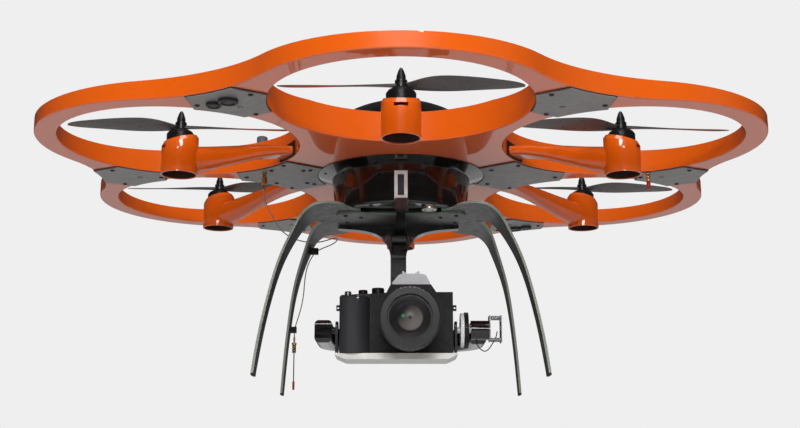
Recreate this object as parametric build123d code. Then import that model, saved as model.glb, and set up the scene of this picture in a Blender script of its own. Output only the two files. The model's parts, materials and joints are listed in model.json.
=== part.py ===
from build123d import *
from math import atan2, cos, degrees, hypot, pi, radians, sin, sqrt, tan
import os

# Hexacopter camera drone, in millimetres.
# Origin: centre of the rectangle of the four feet, on the ground plane.
# +Z up, -Y is the front, where the front rotor and the camera's lens point.

# Airframe: six ring guards joined into one flat body
MOTOR_CIRCLE_R = 369.0
RING_OUTER_R = 203.0
HOLE_R = 172.5
WAIST_R = 230.0
FRAME_BOTTOM = 335.0
FRAME_SEAM = 341.0
FRAME_TOP = 379.0
RIM_TOP = 355.0
SLOPE_START_R = 285.0
SKIN = 2.2
BAY_R = 130.0
EDGE_ROUND = 2.0
RING_NAMES = ["front", "front_right", "rear_right", "rear", "rear_left", "front_left"]
RING_ANGLES = dict(zip(RING_NAMES, [-90, -30, 30, 90, 150, 210]))
WAIST_ANGLES = [-60, 0, 60, 120, 180, 240]

# Covers on the underside
GASKET_T = 0.6
COVER_T = 1.6
COVER_GAP = 1.2
SCREW_HEAD_R = 3.4
SCREW_HEAD_H = 1.4

# Motor pods, motors and propellers
POD_R = 26.3
POD_WALL = 1.9
POD_BOTTOM = 288.4
POD_RIM_R = 23.0
POD_RIM_LOW = 336.0
POD_RIM_HIGH = 349.0
MOTOR_BAY_R = 21.0
MOTOR_FLOOR = 320.5
ARM_GASKET_T = 2.0
BELL_R = 19.8
BELL_BOTTOM = 324.5
BELL_TOP = 355.0
SHAFT_R = 2.5
RUNNING_GAP = 0.05
PROP_HUB_BOTTOM = 356.0
PROP_HUB_TOP = 364.0
PROP_HUB_R = 8.0
PROP_R = 161.0
SPINNER_TIP = 383.9
# At rest each propeller stands at this angle from the X axis, turned by hand.
PROP_REST = {"front": -1, "front_right": 6, "rear_right": 2, "rear": 0, "rear_left": 0, "front_left": 6}
CLOCKWISE = ["front", "rear_right", "rear_left"]

# Centre hub and dome
HUB_FLANGE_R = 132.0
HUB_TOP_R = 110.0
HUB_BOTTOM_R = 104.0
HUB_SHOULDER = 326.0
HUB_BOTTOM = 267.0
HUB_WALL = 2.5
DOME_SPHERE_R = 182.0
DOME_APEX = 454.5
BATTERY = (150.0, 108.0, 46.0)

# Landing gear, bent from sheet
LEG_T = 3.6
LEG_X = [(62, 267), (102, 267), (114, 266.5), (128, 263.5), (144, 252), (156.6, 230), (175.9, 180), (189.4, 120), (198.4, 60)]
LEG_FOOT_X = 205.0
LEG_OUTER_Y = [(215.5, 0), (198.4, 60), (172.6, 120), (147.4, 180), (129.7, 230), (124.7, 262)]
LEG_INNER_Y = [(185, 0), (161.8, 60), (132.9, 120), (95.5, 180), (54.5, 230), (14, 258)]
LEG_PLAN_Y = [(60, 62), (78, 76), (90, 104), (104, 115), (125, 119), (150, 125)]
FOOT_PAD_H = 3.0
CROSS_T = 3.5
CROSS_HALF_X = 100.0
CROSS_HALF_Y = 57.0

# Gimbal
MAST_X = -4.0
MAST_W = 25.0
MAST_Y0 = 22.0
MAST_Y1 = 50.0
MAST_FLARE_Z = 206.0
MAST_BEVEL = 5.0
ROLL_Z = 79.5
ROLL_BOSS_R = 17.0
ROLL_PIN_R = 6.0
TILT_Y = -60.0
TILT_Z = 79.5
TILT_PIN_R = 5.0
YOKE_X = 129.0
YOKE_W = 26.0
YOKE_BACK = 78.0
YOKE_Z0 = 60.0
YOKE_Z1 = 94.0
GEAR_TEETH = 52
PINION_TEETH = 14
GEAR_MODULE = 1.0

# Camera
BODY_X0 = -91.7
BODY_X1 = 78.0
BODY_Z0 = 42.6
BODY_Z1 = 135.5
BODY_FRONT = -75.0
BODY_BACK = -14.0
LENS_X = 13.0
LENS_Z = 88.0
LENS_R = 44.7
LENS_FRONT = -155.0
SHUTTER_R = 5.0
SHUTTER_BOTTOM = 127.4
SHUTTER_TRAVEL = 1.0

# Antennas and the coaxial cable down the left rear leg
CABLE_D = 1.8
CABLE_ROUTE = [
    (-215, -31, 303), (-215, -31, 293), (-211, -30, 280), (-203.5, -27, 267), (-196, -20, 251),
    (-184.5, -8, 239.5), (-170, 6, 233), (-153.5, 20, 231), (-137, 36, 233), (-122, 50, 239),
    (-110, 61, 246), (-104, 70, 246.5), (-107, 80, 243), (-117, 88, 239), (-129, 95, 236),
    (-141, 100, 231), (-150.5, 107, 220.5), (-157, 115, 207), (-160.5, 122.5, 193), (-162.5, 131, 180),
    (-164, 140, 166), (-167, 148, 151), (-171.5, 156, 135.5), (-177, 163, 121), (-181, 168, 108), (-181, 168, 96),
]
WIRE_D = 1.6
WIRE_ROUTE = [
    (113, -60, 65), (113.5, -60, 59.5), (116.5, -60, 54.5), (120.5, -60, 50), (125.5, -60, 47.6),
    (130.5, -60, 50), (134.5, -60, 55), (138, -60, 60.5), (141.5, -60, 66.5), (144, -60, 72.5), (144.6, -60, 78),
]

NODES = {}


def polar(radius, angle):
    return (radius * cos(radians(angle)), radius * sin(radians(angle)))


def disc(radius, bottom, top, x=0.0, y=0.0):
    return Pos(x, y, (bottom + top) / 2) * Cylinder(radius, top - bottom)


def tube(outer, inner, bottom, top, x=0.0, y=0.0):
    return disc(outer, bottom, top, x, y) - disc(inner, bottom - 1, top + 1, x, y)


def block(x0, x1, y0, y1, z0, z1):
    return Pos((x0 + x1) / 2, (y0 + y1) / 2, (z0 + z1) / 2) * Box(x1 - x0, y1 - y0, z1 - z0)


def rod_x(radius, x0, x1, y, z):
    return Pos((x0 + x1) / 2, y, z) * Rot(0, 90, 0) * Cylinder(radius, x1 - x0)


def rod_y(radius, y0, y1, x, z):
    return Pos(x, (y0 + y1) / 2, z) * Rot(90, 0, 0) * Cylinder(radius, y1 - y0)


def around(shape, angles):
    return [Rot(0, 0, angle) * shape for angle in angles]


def revolved(points):
    """Solid of revolution about Z from a closed outline of (radius, z) points."""
    return revolve(Plane.XZ * make_face(Polyline(*points, close=True)), Axis.Z)


def prism(face, bottom, top):
    return Pos(0, 0, bottom) * extrude(face, top - bottom)


def keep(node, *shapes):
    solids = []
    for shape in shapes:
        for item in shape if isinstance(shape, (list, tuple)) else [shape]:
            solids += item.solids()
    NODES[node] = solids


# ---------------------------------------------------------------- airframe


def frame_outline(inset=0.0):
    """The six rings' joint outer contour, moved inwards by inset."""
    ring = RING_OUTER_R - inset
    waist = WAIST_R + inset
    ring_x = MOTOR_CIRCLE_R * cos(radians(30))
    ring_y = MOTOR_CIRCLE_R * sin(radians(30))
    waist_x = ring_x + sqrt((ring + waist) ** 2 - ring_y**2)
    share = ring / (ring + waist)
    touch_x = ring_x + share * (waist_x - ring_x)
    touch_y = ring_y * (1 - share)
    touch_r = hypot(touch_x, touch_y)
    touch_angle = degrees(atan2(touch_y, touch_x))
    arcs = []
    for angle in RING_ANGLES.values():
        start = polar(touch_r, angle - 30 + touch_angle)
        end = polar(touch_r, angle + 30 - touch_angle)
        after = polar(touch_r, angle + 30 + touch_angle)
        arcs.append(ThreePointArc(start, polar(MOTOR_CIRCLE_R + ring, angle), end))
        arcs.append(ThreePointArc(end, polar(waist_x - waist, angle + 30), after))
    return make_face(arcs)


def ring_holes(bottom, top, inset=0.0):
    hole = disc(HOLE_R + inset, bottom, top, x=MOTOR_CIRCLE_R)
    return around(hole, RING_ANGLES.values())


def frame_block(inset, bottom):
    """The closed body of the airframe, moved inwards by inset, from bottom upwards."""
    rim = MOTOR_CIRCLE_R + RING_OUTER_R
    top = FRAME_TOP - inset
    outline = [(0, bottom), (rim + 5, bottom), (rim + 5, RIM_TOP - inset), (SLOPE_START_R, top), (0, top)]
    body = prism(frame_outline(inset), bottom, FRAME_TOP) & revolved(outline)
    return body - ring_holes(bottom - 1, FRAME_TOP + 1, inset)


def upper_frame_shell():
    body = frame_block(0, FRAME_SEAM)
    hollow = frame_block(SKIN, FRAME_SEAM - 1) - disc(BAY_R + SKIN, FRAME_SEAM - 2, FRAME_TOP)
    return body - hollow - disc(BAY_R, FRAME_SEAM - 1, FRAME_TOP + 1)


def lower_frame_skin():
    body = prism(frame_outline(), FRAME_BOTTOM, FRAME_SEAM) - ring_holes(FRAME_BOTTOM - 1, FRAME_SEAM + 1)
    body = fillet(body.faces().sort_by(Axis.Z)[0].edges(), EDGE_ROUND)
    pocket = prism(frame_outline(SKIN), FRAME_BOTTOM + SKIN, FRAME_SEAM + 1)
    pocket -= ring_holes(FRAME_BOTTOM, FRAME_SEAM + 2, SKIN)
    return body - pocket - disc(HUB_BOTTOM_R, FRAME_BOTTOM - 1, FRAME_SEAM)


def hatch(points, top, thickness, shrink):
    """A hatch plate: points are (radial, tangential) corners of a piece of the underside along +X."""
    face = make_face(Polyline(*points, close=True))
    plate = prism(face, top - thickness, top)
    plate &= prism(frame_outline(shrink), top - thickness - 1, top + 1)
    plate -= ring_holes(top - thickness - 1, top + 1, shrink)
    return plate - disc(HUB_FLANGE_R + shrink, top - thickness - 1, top + 1)


def grown(points, by):
    """Corners moved away from their middle by a fixed distance in each axis."""
    middle = sum(p[0] for p in points) / len(points)
    return [(p[0] + (by if p[0] > middle else -by), p[1] + (by if p[1] > 0 else -by)) for p in points]


OUTER_HATCH = [(380, -32), (433, -62), (486, -34), (486, 34), (433, 62), (380, 32)]
INNER_HATCH = [(120, -48), (179, -92), (258, -34), (258, 34), (179, 92), (120, 48)]
OUTER_SCREWS = [(384, 0), (452, -43), (452, 43)]
INNER_SCREWS = [(247, 0), (181, -71), (181, 71), (142, -44), (142, 44)]
LEFT_EXTRA_SCREWS = [(203, -38), (203, 42), (153, -37), (153, 41)]
LEFT_TURN = 180


def frame_covers():
    hatch_top = FRAME_BOTTOM - GASKET_T
    rim = 1.6
    outer_gasket = hatch(grown(OUTER_HATCH, rim), FRAME_BOTTOM, GASKET_T, 0.3)
    inner_gasket = hatch(grown(INNER_HATCH, rim), FRAME_BOTTOM, GASKET_T, 0.3)
    keep("cover_gaskets", around(outer_gasket, WAIST_ANGLES), around(inner_gasket, [0, LEFT_TURN]), arm_gaskets())
    outer = hatch(OUTER_HATCH, hatch_top, COVER_T, COVER_GAP)
    inner = hatch(INNER_HATCH, hatch_top, COVER_T, COVER_GAP)
    keep("outer_cover_plates", around(outer, WAIST_ANGLES))
    keep("inner_cover_plates", around(inner, [0, LEFT_TURN]))
    screw_z = hatch_top - COVER_T
    screws = [around(screw(x, y, screw_z), WAIST_ANGLES) for x, y in OUTER_SCREWS]
    screws += [around(screw(x, y, screw_z), [0, LEFT_TURN]) for x, y in INNER_SCREWS]
    screws += [around(screw(x, y, screw_z), [LEFT_TURN]) for x, y in LEFT_EXTRA_SCREWS]
    keep("cover_screws", [item for group in screws for item in group])
    light = disc(4.2, screw_z - 1.2, screw_z, x=418)
    light = chamfer(light.faces().sort_by(Axis.Z)[0].edges(), 0.8)
    keep("status_lights", around(light, WAIST_ANGLES))
    keep("range_sensors", around(range_sensors(screw_z), [60, 240]))


def screw(x, y, top, radius=SCREW_HEAD_R):
    """A button-head screw hanging below a plate, with a hexagon socket."""
    head = disc(radius, top - SCREW_HEAD_H, top, x, y)
    head = fillet(head.faces().sort_by(Axis.Z)[0].edges(), SCREW_HEAD_H * 0.6)
    socket = Pos(x, y, top - SCREW_HEAD_H) * extrude(RegularPolygon(radius * 0.45, 6), SCREW_HEAD_H * 0.5)
    return head - socket


def range_sensors(top):
    """A small and a larger round ultrasonic sensor on a junction cover."""
    parts = []
    for x, y, radius in [(447, -20, 10.0), (449, 5, 13.0)]:
        height = 4.5
        cup = disc(radius, top - height, top, x, y)
        cup = fillet(cup.faces().sort_by(Axis.Z)[0].edges(), 1.0)
        cup -= disc(radius * 0.72, top - height - 1, top - height + 1.6, x, y)
        mesh = disc(radius * 0.5, top - height + 0.6, top - height + 1.6, x, y)
        parts.append(cup + mesh)
    return parts[0] + parts[1]


# ---------------------------------------------------------------- pods and rotors


def arm_section(distance, width, low, high):
    """Rounded cross-section of an arm, distance from the pod's axis towards the hub."""
    plane = Plane(origin=(MOTOR_CIRCLE_R - distance, 0, (low + high) / 2), x_dir=(0, 1, 0), z_dir=(-1, 0, 0))
    return plane * RectangleRounded(width, high - low, min(width, high - low) * 0.42)


def motor_pod():
    """Pod along +X from the hub, with the arm that holds it to the ring's inner wall."""
    x = MOTOR_CIRCLE_R
    pod = disc(POD_R, POD_BOTTOM, POD_RIM_HIGH + 8, x)
    slope = degrees(atan2(POD_RIM_HIGH - POD_RIM_LOW, 2 * POD_RIM_R))
    lid_z = (POD_RIM_LOW + POD_RIM_HIGH) / 2
    pod -= Pos(x, 0, lid_z) * Rot(0, slope, 0) * Pos(0, 0, 30) * Box(120, 120, 60)
    pod = chamfer(pod.faces().sort_by(Axis.Z)[-1].edges(), 5.5, POD_R - POD_RIM_R)
    arm = loft([
        arm_section(16, 40, 292, 332),
        arm_section(60, 31, 306, 339),
        arm_section(115, 31, 327, 348),
        arm_section(HOLE_R + 8, 46, 339, 352),
    ])
    arm -= tube(HOLE_R + 60, HOLE_R - ARM_GASKET_T, 250, 400, x)
    body = pod + arm
    body -= disc(MOTOR_BAY_R, MOTOR_FLOOR, 400, x)
    body -= disc(POD_R - POD_WALL, POD_BOTTOM - 1, MOTOR_FLOOR - 3, x)
    body -= block(x, x + 60, -9, 9, 325, 329.6)
    return body


def arm_gaskets():
    """Rubber pads between the arms' ends and the ring walls."""
    wall = tube(HOLE_R, HOLE_R - ARM_GASKET_T, 336, 359, MOTOR_CIRCLE_R)
    pad = wall & block(MOTOR_CIRCLE_R - HOLE_R - 5, MOTOR_CIRCLE_R - 120, -26, 26, 336, 359)
    return around(pad, RING_ANGLES.values())


def motor_stator():
    base_top = MOTOR_FLOOR + 2.5
    core = disc(16.3, base_top, BELL_TOP - 13)
    slot = block(9, 20, -1.1, 1.1, base_top + 1, BELL_TOP)
    core -= around(slot, range(0, 360, 30))
    body = core + disc(17.5, MOTOR_FLOOR, base_top) + disc(4.6, MOTOR_FLOOR, BELL_TOP - 7.5)
    body -= disc(SHAFT_R + RUNNING_GAP, MOTOR_FLOOR - 1, BELL_TOP)
    return Pos(MOTOR_CIRCLE_R, 0, 0) * body


def motor_bell():
    """Outrunner bell with its shaft, centred on its own axis."""
    shell_in = BELL_R - 2.2
    deck = BELL_TOP - 6.5
    bell = revolved([
        (0, BELL_BOTTOM), (BELL_R, BELL_BOTTOM), (BELL_R, deck), (BELL_R - 2.8, BELL_TOP - 2.5), (12.6, BELL_TOP),
        (0, BELL_TOP),
    ])
    bell -= disc(shell_in, BELL_BOTTOM - 1, deck)
    vent = disc(2.6, deck - 1, BELL_TOP + 1, x=11.5)
    bell -= around(vent, range(30, 390, 60))
    return bell + disc(SHAFT_R, MOTOR_FLOOR + 0.5, PROP_HUB_TOP + 12)


def blade_section(radius, chord, thickness, pitch, sweep):
    """Lens-shaped section across a blade that runs along +X, with narrow flat edges."""
    plane = Plane(origin=(radius, 0, (PROP_HUB_BOTTOM + PROP_HUB_TOP) / 2), x_dir=(0, 1, 0), z_dir=(1, 0, 0))
    half = chord / 2
    edge = thickness * 0.12
    outline = [
        ThreePointArc((-half, edge), (0, thickness / 2), (half, edge)),
        Line((half, edge), (half, -edge)),
        ThreePointArc((half, -edge), (0, -thickness / 2), (-half, -edge)),
        Line((-half, -edge), (-half, edge)),
    ]
    return plane * Rot(0, 0, pitch) * Pos(sweep, 0) * make_face(outline)


BLADE = [
    # radius, chord, thickness, pitch, sweep
    (3, 11, 6.0, 14, 0),
    (14, 15, 5.0, 24, 0),
    (36, 27, 3.4, 22, 3.0),
    (62, 32.5, 2.6, 19, 4.0),
    (95, 30.5, 2.0, 15, 3.5),
    (130, 24, 1.5, 11, 1.5),
    (152, 15.5, 1.2, 8.5, -0.5),
    (PROP_R, 6, 0.9, 7, -2.5),
]


def propeller():
    blade = loft([blade_section(*row) for row in BLADE])
    hub = disc(PROP_HUB_R, PROP_HUB_BOTTOM, PROP_HUB_TOP)
    hub = fillet(hub.edges(), 1.2)
    body = hub + blade + Rot(0, 0, 180) * blade
    return body - disc(SHAFT_R + RUNNING_GAP, PROP_HUB_BOTTOM - 5, PROP_HUB_TOP + 5)


def spinner():
    """Prop nut: a washer flange under a tapered cone."""
    cone = revolved([
        (0, PROP_HUB_TOP), (8.2, PROP_HUB_TOP), (8.2, PROP_HUB_TOP + 2.4), (6.4, PROP_HUB_TOP + 2.6),
        (6.0, PROP_HUB_TOP + 9), (3.6, SPINNER_TIP - 3.5), (1.6, SPINNER_TIP), (0, SPINNER_TIP),
    ])
    cone -= disc(SHAFT_R + RUNNING_GAP, PROP_HUB_TOP - 1, PROP_HUB_TOP + 12.5)
    return cone - rod_x(1.2, -10, 10, 0, PROP_HUB_TOP + 15)


def rotors():
    for name, angle in RING_ANGLES.items():
        x, y = polar(MOTOR_CIRCLE_R, angle)
        prop = propeller()
        if name in CLOCKWISE:
            prop = mirror(prop, about=Plane.XZ)
        turn = PROP_REST[name]
        place = Pos(x, y, 0)
        keep(f"motor_bell_{name}", place * motor_bell())
        keep(f"propeller_{name}", place * Rot(0, 0, turn) * prop, place * Rot(0, 0, turn) * spinner())


# ---------------------------------------------------------------- hub, dome, avionics


def hub_cone(offset, bottom=HUB_BOTTOM):
    """The bowl's conical wall as a solid, moved outwards by offset."""
    slope = (HUB_TOP_R - HUB_BOTTOM_R) / (HUB_SHOULDER - HUB_BOTTOM)
    low = HUB_BOTTOM_R + offset + slope * (bottom - HUB_BOTTOM)
    top = HUB_TOP_R + offset
    return revolved([(0, bottom), (low, bottom), (top, HUB_SHOULDER), (0, HUB_SHOULDER)])


def hub_bowl():
    outer = hub_cone(0)
    outer = fillet(outer.faces().sort_by(Axis.Z)[0].edges(), 4)
    inner = hub_cone(-HUB_WALL, HUB_BOTTOM + HUB_WALL)
    flange = revolved([
        (HUB_TOP_R - HUB_WALL, HUB_SHOULDER), (HUB_TOP_R, HUB_SHOULDER), (HUB_FLANGE_R, FRAME_BOTTOM - 1.5),
        (HUB_FLANGE_R, FRAME_BOTTOM), (HUB_TOP_R - HUB_WALL, FRAME_BOTTOM),
    ])
    port = block(-4.4, 4.4, -130, -90, 278, 309)
    return outer - inner + flange - port


def service_port():
    """White bezel on the bowl's front wall, and the dark socket block that fills it."""
    x = 10.0
    wall = hub_cone(1.6) - hub_cone(0)
    bezel = wall & block(-x, x, -130, -90, 272, 315)
    bezel -= block(-4.8, 4.8, -130, -90, 277.6, 309.4)
    keep("port_bezel", bezel)
    insert = (hub_cone(0.4) - hub_cone(-6)) & block(-4.3, 4.3, -130, -90, 278.1, 308.9)
    keep("port_socket", insert)


def dome_cover():
    centre = DOME_APEX - DOME_SPHERE_R
    above = block(-200, 200, -200, 200, FRAME_TOP, DOME_APEX + 10)
    shell = (Pos(0, 0, centre) * Sphere(DOME_SPHERE_R)) & above
    shell -= Pos(0, 0, centre) * Sphere(DOME_SPHERE_R - HUB_WALL)
    foot_r = sqrt((DOME_SPHERE_R - 1) ** 2 - (FRAME_TOP - centre) ** 2)
    collar = tube(foot_r - 1, BAY_R - 4, FRAME_TOP, FRAME_TOP + 2) + tube(BAY_R - 0.6, BAY_R - 3, FRAME_TOP - 7, FRAME_TOP + 2)
    return shell + collar


def avionics():
    long, wide, high = BATTERY
    floor = HUB_BOTTOM + HUB_WALL
    pack = block(-long / 2, long / 2, -wide / 2, wide / 2, floor, floor + high)
    keep("battery", fillet(pack.edges(), 4))
    deck = floor + high + 3
    tray = disc(105.5, deck, deck + 2)
    tray -= block(-long / 2 - 1.5, long / 2 + 1.5, -wide / 2 - 1.5, wide / 2 + 1.5, deck - 1, deck + 3)
    posts = [disc(4, floor, deck, x, y) for x in (-58, 58) for y in (-76, 76)]
    for post in posts:
        tray += post
    keep("avionics_tray", tray)
    board = block(-30, 30, 64, 98, deck + 2, deck + 14)
    board = fillet(board.edges().filter_by(Axis.Z), 3)
    receiver = block(-24, 24, -94, -66, deck + 2, deck + 11)
    receiver = fillet(receiver.edges().filter_by(Axis.Z), 3)
    keep("flight_controller", board, receiver)


def ground_sensor():
    """Optical ground sensor: a bright bezel with a lens under the bowl."""
    x, y, top = 43.0, -72.0, HUB_BOTTOM
    bezel = disc(12, top - 5, top, x, y)
    bezel = fillet(bezel.faces().sort_by(Axis.Z)[0].edges(), 1.4)
    bezel -= disc(7.5, top - 6, top - 3, x, y)
    lens = Pos(x, y, top - 3) * Sphere(6) & block(x - 9, x + 9, y - 9, y + 9, top - 4.8, top - 2.5)
    return bezel + lens


# ---------------------------------------------------------------- landing gear


def sheet_band(points, thickness, half_width):
    """A bent sheet: points run along its outer face in XZ; the sheet lies on their inner side."""
    flat = Line(points[0], points[1])
    outer = Spline(*points[1:])
    steps = [i / 24 for i in range(25)]
    inner_points = []
    for u in steps:
        p = outer @ u
        t = outer % u
        inner_points.append((p.X + t.Y * thickness, p.Y - t.X * thickness))
    inner = Spline(*inner_points)
    inner_flat = Line((points[0][0], points[0][1] - thickness), inner @ 0)
    ends = [Line(outer @ 1, inner @ 1), Line(flat @ 0, inner_flat @ 0)]
    face = Plane.XZ * make_face([flat, outer, inner, inner_flat] + ends)
    return Pos(0, half_width, 0) * extrude(face, 2 * half_width)


def leg_cutter():
    """Front view prism, along X, that leaves the two legs of one side."""
    top = 275.0
    low = FOOT_PAD_H
    outer = Spline(*LEG_OUTER_Y)
    outer_left = Spline(*[(-y, z) for y, z in LEG_OUTER_Y])
    body = make_face([
        outer, outer_left, Line(LEG_OUTER_Y[0], (-LEG_OUTER_Y[0][0], 0)),
        Line(LEG_OUTER_Y[-1], (LEG_OUTER_Y[-1][0], top)), Line((LEG_OUTER_Y[-1][0], top), (-LEG_OUTER_Y[-1][0], top)),
        Line((-LEG_OUTER_Y[-1][0], top), (-LEG_OUTER_Y[-1][0], LEG_OUTER_Y[-1][1])),
    ])
    crotch = (0, LEG_INNER_Y[-1][1] + 4.5)
    inner = Spline(*LEG_INNER_Y, crotch, *[(-y, z) for y, z in reversed(LEG_INNER_Y)])
    gap = make_face([inner, Line(LEG_INNER_Y[0], (-LEG_INNER_Y[0][0], 0))])
    body = Plane.YZ * (body - gap)
    prism_x = extrude(body, 260)
    return prism_x & block(0, 260, -300, 300, low, top)


def leg_plan():
    """Plan outline of one side plate near the hub, as an upright prism."""
    front = Spline(*LEG_PLAN_Y)
    rear = Spline(*[(x, -y) for x, y in LEG_PLAN_Y])
    x0, y0 = LEG_PLAN_Y[0]
    x1, y1 = LEG_PLAN_Y[-1]
    near = make_face([front, rear, Line((x0, y0), (x0, -y0)), Line((x1, y1), (x1, -y1))])
    far = Pos((x1 + 260) / 2, 0) * Rectangle(260 - x1 + 1, 600)
    return prism(near + far, 0, 300)


def landing_plate():
    """One side's bent plate, on the +X side, with its front and rear leg."""
    sheet = sheet_band(LEG_X + [(LEG_FOOT_X, 0)], LEG_T, 230)
    return sheet & leg_cutter() & leg_plan()


def foot_pads():
    low_y = LEG_INNER_Y[0][0]
    high_y = LEG_OUTER_Y[0][0]
    pad = block(LEG_FOOT_X - LEG_T - 0.5, LEG_FOOT_X - 0.1, low_y - 0.3, high_y - 0.8, 0, FOOT_PAD_H)
    pad = fillet(pad.edges().filter_by(Axis.Z), 1.2)
    return [pad, mirror(pad, Plane.XZ), mirror(pad, Plane.YZ), mirror(mirror(pad, Plane.XZ), Plane.YZ)]


def landing_gear():
    right = landing_plate()
    keep("landing_plate_right", right)
    keep("landing_plate_left", mirror(right, Plane.YZ))
    keep("foot_pads", foot_pads())
    top = HUB_BOTTOM - LEG_T
    cross = block(-CROSS_HALF_X, CROSS_HALF_X, -CROSS_HALF_Y, CROSS_HALF_Y, top - CROSS_T, top)
    cross = fillet(cross.edges().filter_by(Axis.Z), 14)
    for side in (-1, 1):
        cross -= disc(330, top - CROSS_T - 1, top + 1, y=side * (CROSS_HALF_Y + 322))
    spacer = block(-50, 50, -40, 40, top, HUB_BOTTOM)
    keep("landing_cross_plate", cross + spacer)
    heads = [screw(x, y, top - CROSS_T) for x in (-86, 86) for y in (-42, 8)]
    heads += [screw(x, -30, top - CROSS_T) for x in (-62, 62)]
    heads += [screw(*polar(94, angle), HUB_BOTTOM) for angle in (-119, 75, 105)]
    flange_heads = [screw(*polar(122, angle), 331, 3.0) for angle in range(15, 375, 60)]
    heads += [head - NODES["hub_bowl"][0] for head in flange_heads]
    heads += [screw(x, -108.5, 255, 2.6) for x in (-6, 6)]
    keep("frame_screws", heads)


# ---------------------------------------------------------------- gimbal


def mast_front_profile():
    """Trumpet-shaped front view of the mast with its two side arms."""
    half = MAST_W / 2
    top = HUB_BOTTOM - LEG_T - CROSS_T
    edges = []
    for side in (-1, 1):
        tip = (MAST_X + side * 97, top)
        tip_low = (MAST_X + side * 97, top - 5.5)
        knee = (MAST_X + side * 46, top - 12)
        waist = (MAST_X + side * half, MAST_FLARE_Z)
        edges.append(Line(tip, tip_low))
        edges.append(Spline(tip_low, knee, waist, tangents=[(-side, -0.1), (0, -1)]))
        edges.append(Line(waist, (MAST_X + side * half, ROLL_Z)))
    edges.append(Line((MAST_X - 97, top), (MAST_X + 97, top)))
    edges.append(Line((MAST_X - half, ROLL_Z), (MAST_X + half, ROLL_Z)))
    return make_face(edges)


def gimbal_mast():
    half = MAST_W / 2
    top = HUB_BOTTOM - LEG_T - CROSS_T
    column = Pos(0, MAST_Y1, 0) * extrude(Plane.XZ * mast_front_profile(), MAST_Y1 - MAST_Y0)
    for face in (column.faces().sort_by(Axis.Y)[0], column.faces().sort_by(Axis.Y)[-1]):
        sides = [edge for edge in face.edges() if edge.length > 100 and ROLL_Z < edge.center().Z < top - 1]
        column = chamfer(sides, MAST_BEVEL)
    side_taper = make_face(Polyline(
        (MAST_X - 110, 28), (MAST_X - 60, 25), (MAST_X - 20, MAST_Y0), (MAST_X + 20, MAST_Y0), (MAST_X + 60, 25),
        (MAST_X + 110, 28), (MAST_X + 110, 44), (MAST_X + 60, 47), (MAST_X + 20, MAST_Y1), (MAST_X - 20, MAST_Y1),
        (MAST_X - 60, 47), (MAST_X - 110, 44), close=True))
    column &= prism(side_taper, 0, 300)
    front_tip = -98.0
    side_view = make_face([
        Line((front_tip, top), (MAST_Y0 + 10, top)), Line((front_tip, top), (front_tip, top - 7)),
        Spline((front_tip, top - 7), (-40, top - 12), (MAST_Y0, MAST_FLARE_Z), tangents=[(1, -0.05), (0.25, -1)]),
        Line((MAST_Y0, MAST_FLARE_Z), (MAST_Y0 + 10, MAST_FLARE_Z)),
        Line((MAST_Y0 + 10, MAST_FLARE_Z), (MAST_Y0 + 10, top)),
    ])
    front_arm = Pos(-30, 0, 0) * extrude(Plane.YZ * side_view, 60)
    plan = make_face(Polyline(
        (-6.5, front_tip), (6.5, front_tip), (8, -50), (MAST_X + half, MAST_Y0 + 10), (MAST_X - half, MAST_Y0 + 10),
        (-9, -50), close=True))
    front_arm &= prism(plan, 0, 300)
    clamp = block(-9, 11, -113, -104.8, 255, 272) + block(-9, 11, -113, front_tip + 1, 255, top)
    boss = rod_y(ROLL_BOSS_R, MAST_Y0, MAST_Y1, MAST_X, ROLL_Z)
    body = column + front_arm + clamp + boss
    return body - rod_y(ROLL_PIN_R + RUNNING_GAP, MAST_Y0 - 5, MAST_Y1 + 5, MAST_X, ROLL_Z)


def gimbal_yoke():
    """U-shaped arm round the back of the camera, with the roll pin and both tilt bearings."""
    front = TILT_Y - 15
    length = YOKE_BACK - front
    outer = Pos(0, (YOKE_BACK + front - 100) / 2) * RectangleRounded(2 * YOKE_X, length + 100, 70)
    inner = Pos(0, (YOKE_BACK - YOKE_W + front - 100) / 2) * RectangleRounded(
        2 * (YOKE_X - YOKE_W), length + 100 - YOKE_W, 44)
    plan = (outer - inner) & Pos(0, front + 200) * Rectangle(400, 400)
    body = prism(plan, YOKE_Z0, YOKE_Z1)
    body -= block(YOKE_X - YOKE_W - 2, YOKE_X + 2, front - 5, TILT_Y + 8, YOKE_Z0 - 2, YOKE_Z1 + 2)
    low_edges = body.edges().group_by(Axis.Z)[0]
    body = fillet(low_edges, 7)
    body = fillet(body.edges().group_by(Axis.Z)[-1], 7)
    sleeve_x0 = YOKE_X - 24
    sleeve = rod_x(14.5, sleeve_x0, YOKE_X + 3, TILT_Y, TILT_Z)
    body += sleeve
    body -= rod_x(11.5, sleeve_x0 + 7, YOKE_X + 10, TILT_Y, TILT_Z)
    body -= rod_x(TILT_PIN_R + RUNNING_GAP, -YOKE_X - 5, -YOKE_X + YOKE_W + 5, TILT_Y, TILT_Z)
    body -= rod_x(TILT_PIN_R + RUNNING_GAP, sleeve_x0 - 5, sleeve_x0 + 10, TILT_Y, TILT_Z)
    pinion_y, pinion_z = pinion_centre()
    body -= rod_x(2 + RUNNING_GAP, YOKE_X - YOKE_W - 5, YOKE_X - 10, pinion_y, pinion_z)
    pin = rod_y(ROLL_PIN_R, MAST_Y0 + 1, YOKE_BACK - YOKE_W + 4, MAST_X, ROLL_Z)
    return body + pin


def pinion_centre():
    reach = GEAR_MODULE * (GEAR_TEETH + PINION_TEETH) / 2
    return TILT_Y + reach, TILT_Z


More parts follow.
